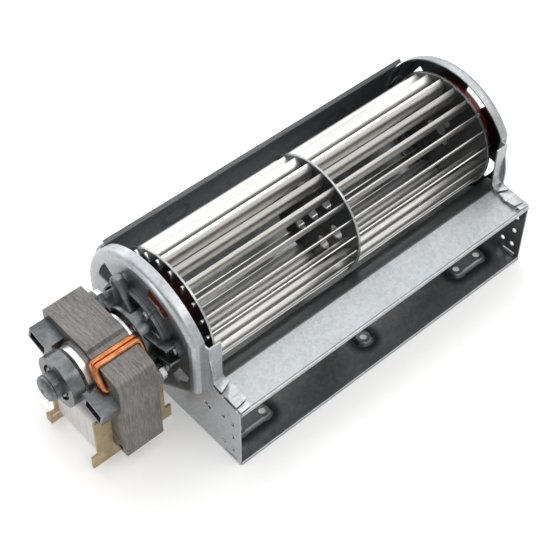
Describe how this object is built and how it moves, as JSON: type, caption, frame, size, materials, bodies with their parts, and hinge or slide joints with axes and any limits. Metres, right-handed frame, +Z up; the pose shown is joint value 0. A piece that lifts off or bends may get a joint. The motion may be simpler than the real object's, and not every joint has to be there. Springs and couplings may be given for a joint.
{
  "type": "oven fan motor",
  "caption": "Cross-flow oven cooling fan: bladed tangential impeller in a sheet-steel scroll housing, driven by a shaded-pole motor with a C-shaped stack on its left end.",
  "frame": {"origin": "centre of the bounding box's underside, where the housing stands on the floor", "axes": "+X along the impeller from the motor to the far bearing, +Y towards the back of the scroll (the outlet faces -Y), +Z up"},
  "size_m": [0.2576, 0.105, 0.09],
  "materials": {
    "galvanised_steel": "spangled zinc, satin",
    "dark_galvanised": "dull zinc, satin",
    "blade_aluminium": "bright rolled",
    "silicone_red": "matt",
    "turned_steel": "turned",
    "plated_steel": "bright zinc",
    "laminations": "stacked edges, dull",
    "bobbin_nylon": "natural glass-filled nylon",
    "coil_tape": "wrapped tape",
    "copper_wire": "bare copper",
    "cast_zinc": "die-cast",
    "sintered_bronze": "porous",
    "cast_aluminium": "cast, bright",
    "felt": "oiled felt",
    "fibre": "matt",
    "tinned_brass": "tinned"
  },
  "bodies": {
    "housing": {"motor_side_plate": "galvanised_steel", "bearing_side_plate": "galvanised_steel", "scroll_sheet": "dark_galvanised", "outlet_top_sheet": "galvanised_steel", "bearing_holder": "silicone_red", "end_bearing": "sintered_bronze", "end_bearing_clip": "plated_steel", "stator_laminations": "laminations", "coil_core": "laminations", "coil_bobbin": "bobbin_nylon", "coil_winding": "coil_tape", "terminal_tabs": "tinned_brass", "shading_rings": "copper_wire", "outer_bracket": "cast_zinc", "inner_bracket": "cast_zinc", "outer_bearing": "sintered_bronze", "inner_bearing": "sintered_bronze", "outer_bearing_clip": "plated_steel", "inner_bearing_clip": "plated_steel", "oil_felts": "felt", "stack_screws": "plated_steel", "stack_nuts": "plated_steel", "plate_screws": "dark_galvanised"},
    "impeller": {"impeller_motor_disc": "galvanised_steel", "impeller_middle_disc": "galvanised_steel", "impeller_bearing_disc": "galvanised_steel", "blades_motor_section": "blade_aluminium", "blades_bearing_section": "blade_aluminium", "impeller_hub": "silicone_red", "hub_insert": "turned_steel", "hub_set_screw": "turned_steel", "stub_shaft": "turned_steel", "stub_rivets": "plated_steel", "rotor_core": "laminations", "rotor_cage": "cast_aluminium", "motor_shaft": "turned_steel", "thrust_washers": "fibre"}
  },
  "joints": [
    {"name": "impeller_spin", "type": "hinge", "parent": "housing", "child": "impeller", "pos_m": [0.0282, 0.0079, 0.0525], "axis": [1, 0, 0], "continuous": true}
  ]
}
